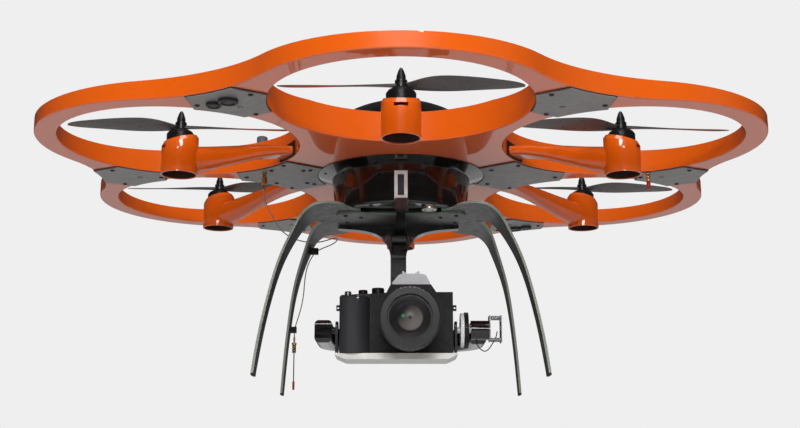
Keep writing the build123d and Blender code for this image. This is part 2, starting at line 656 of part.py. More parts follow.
def gear(teeth, width):
    """Spur gear about Z with plain tapered teeth and free running clearance."""
    pitch_r = GEAR_MODULE * teeth / 2
    root_r = pitch_r - 1.25 * GEAR_MODULE
    tip_r = pitch_r + 0.85 * GEAR_MODULE
    step = 360 / teeth
    root_half = degrees(0.95 * GEAR_MODULE / root_r)
    tip_half = degrees(0.30 * GEAR_MODULE / tip_r)
    corners = []
    for tooth in range(teeth):
        middle = tooth * step
        corners += [polar(root_r, middle - root_half), polar(tip_r, middle - tip_half)]
        corners += [polar(tip_r, middle + tip_half), polar(root_r, middle + root_half)]
    return extrude(make_face(Polyline(*corners, close=True)), width)


def tilt_drive():
    gear_x0 = 95.0
    wheel = Pos(gear_x0, TILT_Y, TILT_Z) * Rot(0, 90, 0) * gear(GEAR_TEETH, 6)
    wheel -= rod_x(TILT_PIN_R, gear_x0 - 5, gear_x0 + 10, TILT_Y, TILT_Z)
    keep("tilt_gear", wheel)
    disc_plate = rod_x(25.5, 89, 94.6, TILT_Y, TILT_Z)
    disc_plate = fillet(disc_plate.edges(), 1.0)
    spindle = rod_x(TILT_PIN_R, 84, 111.5, TILT_Y, TILT_Z)
    keep("tilt_disc", disc_plate + spindle)
    pinion_y, pinion_z = pinion_centre()
    half_tooth = 180 / PINION_TEETH
    small = Pos(gear_x0, pinion_y, pinion_z) * Rot(0, 90, 0) * Rot(0, 0, 90 + half_tooth) * gear(PINION_TEETH, 6)
    shaft = rod_x(2, gear_x0, YOKE_X - 13, pinion_y, pinion_z)
    keep("servo_pinion", small + shaft)


def tilt_motor():
    x0 = YOKE_X - 16.5
    motor = rod_x(11.4, x0, YOKE_X + 3, TILT_Y, TILT_Z)
    motor = fillet(motor.edges(), 1.0)
    return motor


def servo_frame():
    """Open box frame on the motor's outer end: two side plates and four rods."""
    inner_x = YOKE_X + 3.3
    outer_x = 151.0
    y0, y1, z0, z1 = TILT_Y - 13, TILT_Y + 13, 61.0, 101.0
    plate = block(outer_x - 1.6, outer_x, y0, y1, z0, z1)
    plate -= rod_x(6, outer_x - 5, outer_x + 5, TILT_Y, 82)
    ring = rod_x(14.5, inner_x, inner_x + 1.6, TILT_Y, TILT_Z) + block(inner_x, inner_x + 1.6, y0, y1, z0 + 2, z1)
    body = plate + ring
    for y in (y0 + 3, y1 - 3):
        for z in (z0 + 4, z1 - 3):
            body += rod_x(2, inner_x, outer_x - 1, y, z)
    return body


# ---------------------------------------------------------------- camera


def camera_platform():
    tray = Polyline(
        (-98, BODY_Z0), (-98, BODY_Z0 - 2.5), (-83, 33.7), (70, 33.7), (84, BODY_Z0 - 2.5), (84, BODY_Z0), close=True)
    body = Pos(0, -12, 0) * extrude(Plane.XZ * make_face(tray), 76)
    left = block(-98, -94.4, TILT_Y - 15, TILT_Y + 15, BODY_Z0, 92)
    left = fillet(left.edges().filter_by(Axis.X).group_by(Axis.Z)[-1], 8)
    right = block(80.4, 84, TILT_Y - 15, TILT_Y + 15, BODY_Z0, 92)
    right = fillet(right.edges().filter_by(Axis.X).group_by(Axis.Z)[-1], 8)
    pin = rod_x(TILT_PIN_R, -YOKE_X + 6, -98, TILT_Y, TILT_Z)
    return body + left + right + pin


def camera_body():
    outline = Polyline(
        (BODY_X0, BODY_Z0), (BODY_X1, BODY_Z0), (BODY_X1, BODY_Z1), (53, BODY_Z1), (45.4, 147), (-15.6, 147),
        (-22, BODY_Z1 - 1), (-46, 133), (BODY_X0, 131), close=True)
    body = Pos(0, BODY_BACK, 0) * extrude(Plane.XZ * make_face(outline), BODY_BACK - BODY_FRONT)
    body = fillet(body.edges().filter_by(Axis.Y).sort_by(Axis.X)[:2], 4)
    grip_plan = make_face([
        Line((BODY_X0, -40), (BODY_X0, -82)), ThreePointArc((BODY_X0, -82), (-86, -91), (-74, -94)),
        Spline((-74, -94), (-56, -89), (-46, -74), tangents=[(1, 0), (0.35, 1)]), Line((-46, -74), (-46, -40)),
        Line((-46, -40), (BODY_X0, -40)),
    ])
    grip = prism(grip_plan, BODY_Z0 + 0.6, 128)
    grip = fillet(grip.faces().sort_by(Axis.Z)[-1].edges().filter_by(lambda e: e.center().Y < -76), 3)
    body += grip
    body -= rod_x(7.2, -71, -61, -86, 124)
    body -= disc(SHUTTER_R + 0.4, SHUTTER_BOTTOM - SHUTTER_TRAVEL - 0.3, 130, -79, -84)
    return [body] + strap_lugs()


def viewfinder_hump():
    outline = Polyline((-15.2, 147.2), (-4, 161), (0, 163), (34, 163), (38, 161), (45, 147.2), close=True)
    hump = Pos(0, -20, 0) * extrude(Plane.XZ * make_face(outline), 55)
    hump = fillet(hump.edges().filter_by(Axis.Y), 1.5)
    shoe = block(2, 28, -70, -44, 163, 168)
    shoe -= block(5, 25, -80, -47, 166, 169) + block(8, 22, -80, -47, 164.4, 169)
    return hump + shoe


def lens_barrel():
    """Barrel with a waist under the focus ring and a stepped bezel round the glass."""
    y = BODY_FRONT
    body = rod_y(34, y - 5, y, LENS_X, LENS_Z) + rod_y(43.6, y - 33, y - 5, LENS_X, LENS_Z)
    body += rod_y(41, LENS_FRONT + 8, y - 33, LENS_X, LENS_Z)
    bezel = rod_y(44, LENS_FRONT, LENS_FRONT + 8, LENS_X, LENS_Z)
    bezel = fillet(bezel.faces().sort_by(Axis.Y)[0].edges(), 2)
    body += bezel
    body -= rod_y(33, LENS_FRONT - 1, LENS_FRONT + 5, LENS_X, LENS_Z)
    cone = Pos(LENS_X, LENS_FRONT + 4, LENS_Z) * Rot(-90, 0, 0) * Pos(0, 0, 5) * Cone(31, 21, 10)
    return body - cone


def lens_glass():
    lens = Pos(LENS_X, LENS_FRONT + 46, LENS_Z) * Sphere(38.5)
    keep_zone = rod_y(20.7, LENS_FRONT + 3, LENS_FRONT + 14, LENS_X, LENS_Z)
    return lens & keep_zone


def focus_ring():
    y1 = BODY_FRONT - 33.4
    y0 = LENS_FRONT + 8.4
    ring = rod_y(LENS_R, y0, y1, LENS_X, LENS_Z) - rod_y(41 + RUNNING_GAP, y0 - 1, y1 + 1, LENS_X, LENS_Z)
    groove = Pos(LENS_X, (y0 + y1) / 2, LENS_Z) * Rot(90, 0, 0) * Pos(LENS_R, 0, 0) * Box(1.6, 1.5, y1 - y0 - 10)
    centre = Pos(LENS_X, 0, LENS_Z)
    for angle in range(0, 360, 10):
        ring -= centre * Rot(0, angle, 0) * centre.inverse() * groove
    return ring


def dial(radius, height, x, y, bottom):
    """A knurled top-plate dial."""
    body = disc(radius, bottom, bottom + height, x, y)
    body = chamfer(body.faces().sort_by(Axis.Z)[-1].edges(), 0.8)
    notch = block(radius - 0.5, radius + 1, -0.45, 0.45, bottom - 1, bottom + height + 1)
    for angle in range(0, 360, 15):
        body -= Pos(x, y, 0) * Rot(0, 0, angle) * notch
    return body


def camera_controls():
    keep("mode_dial", dial(9.5, 11.0, -35, -44, 134.7))
    keep("exposure_dial", dial(7.0, 10.0, -58, -40, 133.4))
    button = disc(SHUTTER_R, SHUTTER_BOTTOM, 134.6, -79, -84)
    button = fillet(button.faces().sort_by(Axis.Z)[-1].edges(), 1.2)
    keep("shutter_button", button)
    wheel = rod_x(6.5, -70, -62, -86, 124)
    keep("front_dial", chamfer(wheel.edges(), 0.7))


def strap_lugs():
    left = block(BODY_X0 - 6, BODY_X0, -58, -50, 110, 118)
    left -= rod_y(1.8, -70, -40, BODY_X0 - 3.4, 114)
    right = block(BODY_X1, BODY_X1 + 6, -58, -50, 110, 118)
    right -= rod_y(1.8, -70, -40, BODY_X1 + 3.4, 114)
    return [left, right]


# ---------------------------------------------------------------- antennas and cords


def turn_angle(before, here, after):
    return (Vector(*here) - Vector(*before)).get_angle(Vector(*after) - Vector(*here))


def cord(route, diameter, name):
    """Round cord of straight runs joined by tangent arcs as large as the runs allow."""
    radii = []
    for before, here, after in zip(route, route[1:], route[2:]):
        shorter = min((Vector(*here) - Vector(*before)).length, (Vector(*after) - Vector(*here)).length)
        radii.append(0.45 * shorter / tan(radians(turn_angle(before, here, after) / 2)))
    path = FilletPolyline(*route, radius=radii)
    start = Plane(origin=path @ 0, z_dir=path % 0)
    body = sweep(start * Circle(diameter / 2), path)
    section = pi * diameter**2 / 4
    print(f"{name}: length {path.length:.1f} mm, smallest radius {min(radii):.1f} mm, volume / (section x length)"
          f" {body.volume / (section * path.length):.4f}")
    print("  radii", " ".join(f"{r:.0f}" for r in radii))
    return body


def antennas():
    puck = disc(8.5, 376.0 + 3, 391, -220, -31)
    puck = fillet(puck.faces().sort_by(Axis.Z)[-1].edges(), 3)
    keep("antenna_puck", puck)
    plate_z = FRAME_BOTTOM - GASKET_T - COVER_T
    x, y, _ = CABLE_ROUTE[0]
    coupler = disc(4.2, plate_z - 3, plate_z, x, y) + disc(3.1, plate_z - 9, plate_z - 3, x, y)
    coupler += Pos(x, y, plate_z - 19) * extrude(RegularPolygon(4.6, 6), 10) + disc(1.9, CABLE_ROUTE[0][2], plate_z - 19, x, y)
    sx, sy = 391, -25
    stub = disc(4.0, plate_z - 8, plate_z, sx, sy) + disc(2.8, plate_z - 13, plate_z - 8, sx, sy)
    ex, ey, ez = CABLE_ROUTE[-1]
    fitting = disc(1.5, ez - 10, ez, ex, ey) + Pos(ex, ey, ez - 13) * extrude(RegularPolygon(4.0, 6), 3)
    fitting += disc(3.2, ez - 27, ez - 13, ex, ey)
    keep("brass_connectors", coupler, stub, fitting)
    rod = disc(0.9, 21, ez - 27, ex, ey)
    keep("leg_antenna", rod)
    tip = disc(1.9, 7, 21, ex, ey)
    stub_tip = disc(3.2, plate_z - 22, plate_z - 13, sx, sy)
    stub_tip += Pos(sx, sy, plate_z - 24) * Cone(1.2, 3.2, 4)
    keep("antenna_tips", tip, stub_tip)
    cable = cord(CABLE_ROUTE, CABLE_D, "antenna cable")
    keep("antenna_cable", cable)
    keep("cable_clips", [clip - cable for clip in cable_clips(NODES["landing_plate_left"][0])])
    keep("tilt_motor_wire", cord(WIRE_ROUTE, WIRE_D, "tilt motor wire"))


def cable_clips(leg):
    """Two rubber clips on the leg's inner face that the cable runs through."""
    clips = []
    for (x, y, z), reach in [(CABLE_ROUTE[15], 14), (CABLE_ROUTE[-2], 14)]:
        height = 5.0
        body = block(x - reach, x + 3.5, y - 5.5, y + 5.5, z - height, z + height)
        body = fillet(body.edges().filter_by(Axis.Z), 1.5)
        outside = leg + Pos(-5, 0, 0) * leg
        body -= outside
        clips.append(body.solids().sort_by(Axis.X)[-1])
    return clips


def main():
    keep("upper_frame_shell", upper_frame_shell())
    keep("lower_frame_skin", lower_frame_skin())
    frame_covers()
    keep("motor_pods", around(motor_pod(), RING_ANGLES.values()))
    keep("motor_stators", around(motor_stator(), RING_ANGLES.values()))
    controller = Pos(MOTOR_CIRCLE_R, 0, 306) * Box(34, 20, 9)
    keep("speed_controllers", around(fillet(controller.edges(), 1.5), RING_ANGLES.values()))
    rotors()
    keep("hub_bowl", hub_bowl())
    service_port()
    keep("dome_cover", dome_cover())
    avionics()
    keep("ground_sensor", ground_sensor())
    landing_gear()
    keep("gimbal_mast", gimbal_mast())
    keep("gimbal_yoke", gimbal_yoke())
    tilt_drive()
    keep("tilt_motor", tilt_motor())
    keep("servo_frame", servo_frame())
    keep("camera_platform", camera_platform())
    keep("camera_body", camera_body())
    keep("viewfinder_hump", viewfinder_hump())
    keep("lens_barrel", lens_barrel())
    keep("lens_glass", lens_glass())
    keep("focus_ring", focus_ring())
    camera_controls()
    antennas()
    os.makedirs("parts", exist_ok=True)
    for node, solids in NODES.items():
        shape = solids[0] if len(solids) == 1 else Compound(solids)
        export_step(shape, f"parts/{node}.step")


main()
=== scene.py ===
"""Looks of the hexacopter camera drone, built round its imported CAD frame. Metres, +Z up, -Y front."""
import json
import math

import bmesh
import bpy
from mathutils import Matrix, Vector


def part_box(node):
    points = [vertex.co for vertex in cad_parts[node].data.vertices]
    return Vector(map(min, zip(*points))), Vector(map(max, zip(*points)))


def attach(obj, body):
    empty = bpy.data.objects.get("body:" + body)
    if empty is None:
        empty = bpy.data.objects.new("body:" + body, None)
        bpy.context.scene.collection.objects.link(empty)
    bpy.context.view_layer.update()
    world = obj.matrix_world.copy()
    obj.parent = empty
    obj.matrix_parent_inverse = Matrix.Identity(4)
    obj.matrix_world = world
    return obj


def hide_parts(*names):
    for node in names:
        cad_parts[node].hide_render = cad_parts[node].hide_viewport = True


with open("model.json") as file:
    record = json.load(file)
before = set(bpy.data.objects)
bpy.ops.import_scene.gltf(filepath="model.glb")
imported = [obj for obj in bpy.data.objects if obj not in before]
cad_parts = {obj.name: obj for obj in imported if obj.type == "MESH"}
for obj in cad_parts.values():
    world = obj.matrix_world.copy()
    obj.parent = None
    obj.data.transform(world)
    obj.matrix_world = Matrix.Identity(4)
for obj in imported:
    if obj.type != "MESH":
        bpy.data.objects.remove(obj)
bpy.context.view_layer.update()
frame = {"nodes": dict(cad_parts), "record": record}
MM = 0.001


def mm(*values):
    """Millimetres as metres."""
    return tuple(value * MM for value in values)


# ---------------------------------------------------------------- camera

CAMERA_PLACE = (-0.0014, -1.7942, -0.1322)
CAMERA_PITCH = math.radians(12.71)
CAMERA_LENS = 52.0
CAMERA_SENSOR = 36.0
CAMERA_REACH = 50.0


def add_camera():
    data = bpy.data.cameras.new("photo_camera")
    data.sensor_width = CAMERA_SENSOR
    data.lens = CAMERA_LENS
    data.clip_end = CAMERA_REACH
    camera = bpy.data.objects.new("photo_camera", data)
    camera.location = CAMERA_PLACE
    camera.rotation_euler = (math.pi / 2 + CAMERA_PITCH, 0, 0)
    bpy.context.scene.collection.objects.link(camera)
    bpy.context.scene.camera = camera


add_camera()

# ---------------------------------------------------------------- shader helpers


def new_surface(name, rough, metallic=0.0, coat=0.0, coat_rough=0.05, specular=0.5):
    """A material, its node tree, its Principled shader and a position in metres for its textures."""
    material = bpy.data.materials.new(name)
    material.use_nodes = True
    tree = material.node_tree
    shader = tree.nodes["Principled BSDF"]
    shader.inputs["Roughness"].default_value = rough
    shader.inputs["Metallic"].default_value = metallic
    shader.inputs["Coat Weight"].default_value = coat
    shader.inputs["Coat Roughness"].default_value = coat_rough
    shader.inputs["Specular IOR Level"].default_value = specular
    place = tree.nodes.new("ShaderNodeTexCoord").outputs["Object"]
    return material, tree, shader, place


def noise(tree, place, scale, detail=3.0, stretch=(1, 1, 1)):
    mapping = tree.nodes.new("ShaderNodeMapping")
    mapping.inputs["Scale"].default_value = stretch
    tree.links.new(place, mapping.inputs["Vector"])
    node = tree.nodes.new("ShaderNodeTexNoise")
    node.inputs["Scale"].default_value = scale
    node.inputs["Detail"].default_value = detail
    tree.links.new(mapping.outputs["Vector"], node.inputs["Vector"])
    return node.outputs["Fac"]


def cells(tree, place, scale):
    node = tree.nodes.new("ShaderNodeTexVoronoi")
    node.inputs["Scale"].default_value = scale
    tree.links.new(place, node.inputs["Vector"])
    return node.outputs["Distance"]


def math_node(tree, kind, first, second=None):
    node = tree.nodes.new("ShaderNodeMath")
    node.operation = kind
    for socket, value in zip(node.inputs, (first, second)):
        if value is None:
            continue
        if isinstance(value, (int, float)):
            socket.default_value = value
        else:
            tree.links.new(value, socket)
    return node.outputs["Value"]


def spread(tree, factor, low, high, from_low=0.3, from_high=0.7):
    """The factor's range from_low..from_high, mapped to low..high."""
    node = tree.nodes.new("ShaderNodeMapRange")
    ends = {"From Min": from_low, "From Max": from_high, "To Min": low, "To Max": high}
    for name, value in ends.items():
        node.inputs[name].default_value = value
    tree.links.new(factor, node.inputs["Value"])
    return node.outputs["Result"]


def blend_colour(tree, factor, first, second):
    node = tree.nodes.new("ShaderNodeMix")
    node.data_type = "RGBA"
    tree.links.new(factor, node.inputs["Factor"])
    for socket, colour in ((node.inputs[6], first), (node.inputs[7], second)):
        if isinstance(colour, tuple):
            socket.default_value = (*colour, 1)
        else:
            tree.links.new(colour, socket)
    return node.outputs[2]


def tinted(colour, by):
    return tuple(min(1.0, c * by) for c in colour)


def mottled(tree, place, colour, amount, scale, stretch=(1, 1, 1)):
    factor = spread(tree, noise(tree, place, scale, 4, stretch), 0, 1)
    return blend_colour(tree, factor, tinted(colour, 1 - amount), tinted(colour, 1 + amount))


def upright_normal(tree):
    """The shading normal with the face's own slope, so a wall next to a chamfer still mirrors as a wall."""
    geometry = tree.nodes.new("ShaderNodeNewGeometry")
    join = tree.nodes.new("ShaderNodeCombineXYZ")
    for axis, source in (("X", "Normal"), ("Y", "Normal"), ("Z", "True Normal")):
        tree.links.new(part_of(tree, geometry.outputs[source], axis), join.inputs[axis])
    unit = tree.nodes.new("ShaderNodeVectorMath")
    unit.operation = "NORMALIZE"
    tree.links.new(join.outputs["Vector"], unit.inputs[0])
    return unit.outputs["Vector"]


def add_bump(tree, shader, height, strength, distance, base=None):
    node = tree.nodes.new("ShaderNodeBump")
    if base is not None:
        tree.links.new(base, node.inputs["Normal"])
    node.inputs["Strength"].default_value = strength
    node.inputs["Distance"].default_value = distance
    tree.links.new(height, node.inputs["Height"])
    tree.links.new(node.outputs["Normal"], shader.inputs["Normal"])


def set_colour(tree, shader, colour):
    tree.links.new(colour, shader.inputs["Base Color"])


def vary_roughness(tree, shader, factor, low, high):
    tree.links.new(spread(tree, factor, low, high), shader.inputs["Roughness"])


def part_of(tree, place, axis):
    split = tree.nodes.new("ShaderNodeSeparateXYZ")
    tree.links.new(place, split.inputs["Vector"])
    return split.outputs[axis]


def step_above(tree, value, edge, soft):
    """0 below the edge and 1 above it, over a soft width."""
    return spread(tree, value, 0, 1, edge - soft / 2, edge + soft / 2)


# ---------------------------------------------------------------- materials

CLEAR_COAT_IOR = 1.65
LEG_FACE = (0.036, 0.033, 0.030)
LEG_EDGE = (0.215, 0.25, 0.205)
SPINNER_BLACK = (0.006, 0.006, 0.0065)
FIBRE_DARK = (0.05, 0.044, 0.042)
FIBRE_PALE = (0.085, 0.076, 0.072)
SPINNER_R = 8.8 * MM
BODY_BLACK = (0.005, 0.005, 0.0052)
GRIP_BLACK = (0.024, 0.025, 0.028)
GRIP_SIDE_X = -45.5 * MM
# radii on the lens glass of its painted centre disc of shade and its painted green flare reflection
SHADE_PUPIL_R = 2.7 * MM
PAINTED_GHOST_R = 2.1 * MM
GLASS_RIM_R = 18.5 * MM
TRAY_METAL = (0.7, 0.69, 0.65)
BRACKET_BLACK = (0.012, 0.012, 0.012)
TRAY_TOP_Z = 44.5 * MM


def gloss_paint(name, colour, amount=0.03, rough=0.32):
    """Sprayed two-layer paint: faint clouding and orange peel under a clear coat."""
    material, tree, shader, place = new_surface(name, rough, coat=1.0, coat_rough=0.02, specular=0.25)
    shader.inputs["Coat IOR"].default_value = CLEAR_COAT_IOR
    cloud = spread(tree, noise(tree, place, 6, 0), 0, 1, 0.1, 0.9)
    deep, pale = tinted(colour, 1 - amount), tinted(colour, 1 + amount)
    set_colour(tree, shader, blend_colour(tree, cloud, deep, pale))
    tree.links.new(spread(tree, cloud, rough - 0.05, rough + 0.05, 0.2, 0.8), shader.inputs["Roughness"])
    peel = noise(tree, place, 90, 1)
    add_bump(tree, shader, peel, 0.02, 0.0004, upright_normal(tree))
    return material


def gloss_black(name, colour=(0.0028, 0.0024, 0.0022)):
    """Deep black lacquer with a trace of haze and fine wipe marks."""
    material, tree, shader, place = new_surface(name, 0.16, coat=1.0, coat_rough=0.02, specular=0.3)
    wipes = noise(tree, place, 35, 6, (1, 1, 5))
    set_colour(tree, shader, blend_colour(tree, spread(tree, wipes, 0, 1), colour, tinted(colour, 2.2)))
    vary_roughness(tree, shader, wipes, 0.1, 0.24)
    add_bump(tree, shader, noise(tree, place, 90, 1), 0.02, 0.0003)
    return material


def moulded(name, colour, rough=0.5, grain=1400, depth=0.25, amount=0.12):
    """Moulded plastic with a fine spark-eroded grain."""
    material, tree, shader, place = new_surface(name, rough)
    set_colour(tree, shader, mottled(tree, place, colour, amount, 40))
    vary_roughness(tree, shader, noise(tree, place, 120, 4), rough - 0.08, rough + 0.1)
    add_bump(tree, shader, noise(tree, place, grain, 3), depth, 0.0002)
    return material


def satin_plate(name, colour):
    """Cut laminate plate with a lengthwise sheen and small handling marks."""
    material, tree, shader, place = new_surface(name, 0.42, coat=0.25, coat_rough=0.3)
    streaks = noise(tree, place, 30, 6, (1, 8, 1))
    set_colour(tree, shader, blend_colour(tree, spread(tree, streaks, 0, 1), tinted(colour, 0.88),
                                          tinted(colour, 1.12)))
    vary_roughness(tree, shader, noise(tree, place, 80, 5), 0.34, 0.5)
    add_bump(tree, shader, noise(tree, place, 1800, 2), 0.12, 0.0002)
    return material


def turned_metal(name, colour, rough=0.25, metallic=1.0, grain=900):
    """Machined metal: fine tool lines and faint stains."""
    material, tree, shader, place = new_surface(name, rough, metallic)
    lines = noise(tree, place, grain, 2, (0.15, 1, 1))
    set_colour(tree, shader, mottled(tree, place, colour, 0.14, 120))
    vary_roughness(tree, shader, noise(tree, place, 200, 4), rough - 0.07, rough + 0.12)
    add_bump(tree, shader, lines, 0.12, 0.0001)
    return material


def lacquered_ring(name, colour):
    """Anodised aluminium with fine turning lines under a thin satin lacquer."""
    material, tree, shader, place = new_surface(name, 0.34, 0.3, coat=0.7, coat_rough=0.12)
    set_colour(tree, shader, mottled(tree, place, colour, 0.12, 90))
    vary_roughness(tree, shader, noise(tree, place, 200, 3), 0.28, 0.42)
    add_bump(tree, shader, noise(tree, place, 1200, 2, (1, 0.1, 1)), 0.08, 0.0001)
    return material


def leg_sheet(name):
    """Laminated landing plate: dark satin faces, and paler, greenish cut edges."""
    material, tree, shader, place = new_surface(name, 0.4, coat=0.2, coat_rough=0.25)
    normal = tree.nodes.new("ShaderNodeNewGeometry").outputs["Normal"]
    sideways = math_node(tree, "ABSOLUTE", part_of(tree, normal, "Y"))
    cut = step_above(tree, sideways, 0.3, 0.1)
    faces = mottled(tree, place, LEG_FACE, 0.18, 26, (1, 1, 0.3))
    edges = mottled(tree, place, LEG_EDGE, 0.07, 60, (1, 1, 0.2))
    set_colour(tree, shader, blend_colour(tree, cut, faces, edges))
    vary_roughness(tree, shader, noise(tree, place, 90, 5), 0.34, 0.52)
    add_bump(tree, shader, noise(tree, place, 1500, 3), 0.15, 0.0002)
    return material


def distance_from(tree, place, first, second, centre):
    """Distance from a line along the remaining axis, through centre."""
    a = math_node(tree, "SUBTRACT", part_of(tree, place, first), centre[0])
    b = math_node(tree, "SUBTRACT", part_of(tree, place, second), centre[1])
    squares = math_node(tree, "ADD", math_node(tree, "MULTIPLY", a, a), math_node(tree, "MULTIPLY", b, b))
    return math_node(tree, "SQRT", squares)


def propeller_plastic(name, axis):
    """Fibre-filled moulding on the blades, and a polished black spinner and hub about the axis."""
    material, tree, shader, place = new_surface(name, 0.33, coat=0.3, coat_rough=0.2)
    fibres = noise(tree, place, 160, 1, (0.12, 1, 1))
    blade = blend_colour(tree, spread(tree, fibres, 0, 1, 0.15, 0.85), FIBRE_DARK, FIBRE_PALE)
    outside = step_above(tree, distance_from(tree, place, "X", "Y", axis), SPINNER_R, 0.5 * MM)
    set_colour(tree, shader, blend_colour(tree, outside, SPINNER_BLACK, blade))
    vary_roughness(tree, shader, noise(tree, place, 100, 4), 0.24, 0.42)
    add_bump(tree, shader, fibres, 0.12, 0.0003)
    return material


def leather_grip(name):
    """Camera body: pebbled black covering on the grip, fainter on the painted parts."""
    material, tree, shader, place = new_surface(name, 0.55)
    pebbles = cells(tree, place, 900)
    gripwards = math_node(tree, "MULTIPLY", part_of(tree, place, "X"), -1)
    grip = step_above(tree, gripwards, -GRIP_SIDE_X, 1 * MM)
    set_colour(tree, shader, blend_colour(tree, grip, BODY_BLACK, GRIP_BLACK))
    height = math_node(tree, "MULTIPLY", pebbles, math_node(tree, "ADD", grip, 0.35))
    vary_roughness(tree, shader, noise(tree, place, 300, 3), 0.45, 0.65)
    add_bump(tree, shader, height, 0.35, 0.0003)
    return material


def coated_glass(name, centre):
    """Front element, its look painted on: a painted dark centre disc of shade, a painted reflection grading
    from near black to warm grey, one painted green flare reflection of a light, and a dark purple rim.
    """
    material, tree, shader, place = new_surface(name, 0.35, coat=0.35, coat_rough=0.3, specular=0.3)
    x = math_node(tree, "SUBTRACT", part_of(tree, place, "X"), centre[0])
    z = math_node(tree, "SUBTRACT", part_of(tree, place, "Z"), centre[1])
    radius = distance_from(tree, place, "X", "Z", centre)
    # painted reflection: the glass grades from near black to warm grey along x minus z
    depth = spread(tree, math_node(tree, "SUBTRACT", x, z), 0, 1, -0.02, 0.022)
    painted_reflection_grey = blend_colour(tree, depth, (0.012, 0.012, 0.012), (0.16, 0.14, 0.13))
    # painted shade: a near-black centre disc for the dark inside of the lens
    pupil_shade = step_above(tree, radius, SHADE_PUPIL_R, 0.4 * MM)
    inner = blend_colour(tree, pupil_shade, (0.002, 0.002, 0.002), painted_reflection_grey)
    # painted reflection: one green flare spot of a light, fixed left of and above the axis
    painted_ghost_centre = (centre[0] - 9.8 * MM, centre[1] + 2.2 * MM)
    painted_ghost = step_above(tree, distance_from(tree, place, "X", "Z", painted_ghost_centre), PAINTED_GHOST_R, 1.6 * MM)
    inner = blend_colour(tree, painted_ghost, (0.01, 0.30, 0.13), inner)
    rim = step_above(tree, radius, GLASS_RIM_R, 2.2 * MM)
    set_colour(tree, shader, blend_colour(tree, rim, inner, (0.016, 0.010, 0.018)))
    add_bump(tree, shader, noise(tree, place, 150, 2), 0.01, 0.0002)
    return material


def ribbed(name, colour, centre, axis, count):
    """Ribbed rubber: count ribs round an axis through centre."""
    material, tree, shader, place = new_surface(name, 0.55)
    others = {"X": ("Y", "Z"), "Y": ("X", "Z"), "Z": ("X", "Y")}[axis]
    a = math_node(tree, "SUBTRACT", part_of(tree, place, others[0]), centre[0])
    b = math_node(tree, "SUBTRACT", part_of(tree, place, others[1]), centre[1])
    angle = math_node(tree, "ARCTAN2", b, a)
    ribs = math_node(tree, "SINE", math_node(tree, "MULTIPLY", angle, count))
    set_colour(tree, shader, mottled(tree, place, colour, 0.2, 200))
    vary_roughness(tree, shader, noise(tree, place, 300, 3), 0.45, 0.65)
    add_bump(tree, shader, spread(tree, ribs, 0, 1, -0.4, 0.4), 0.8, 0.0004)
    return material


def platform_metal(name):
    """Bare anodised tray, with black side brackets above it."""
    material, tree, shader, place = new_surface(name, 0.4, 0.35, coat=0.3, coat_rough=0.2)
    tray = mottled(tree, place, TRAY_METAL, 0.1, 60, (1, 6, 1))
    bracket = step_above(tree, part_of(tree, place, "Z"), TRAY_TOP_Z, 1 * MM)
    set_colour(tree, shader, blend_colour(tree, bracket, tray, BRACKET_BLACK))
    vary_roughness(tree, shader, noise(tree, place, 200, 4), 0.3, 0.48)
    add_bump(tree, shader, noise(tree, place, 900, 2, (0.15, 1, 1)), 0.12, 0.0001)
    return material


def cable_jacket(name, colour):
    """Drawn jacket over a fine braid."""
    material, tree, shader, place = new_surface(name, 0.4, coat=0.4, coat_rough=0.15)
    braid = cells(tree, place, 1600)
    strands = spread(tree, braid, 0, 1, 0.1, 0.6)
    set_colour(tree, shader, blend_colour(tree, strands, colour, tinted(colour, 1.7)))
    vary_roughness(tree, shader, noise(tree, place, 500, 3), 0.3, 0.5)
    add_bump(tree, shader, braid, 0.3, 0.0002)
    return material


ORANGE = (0.7, 0.098, 0.0)
LENS_AXIS = (0.013, 0.088)

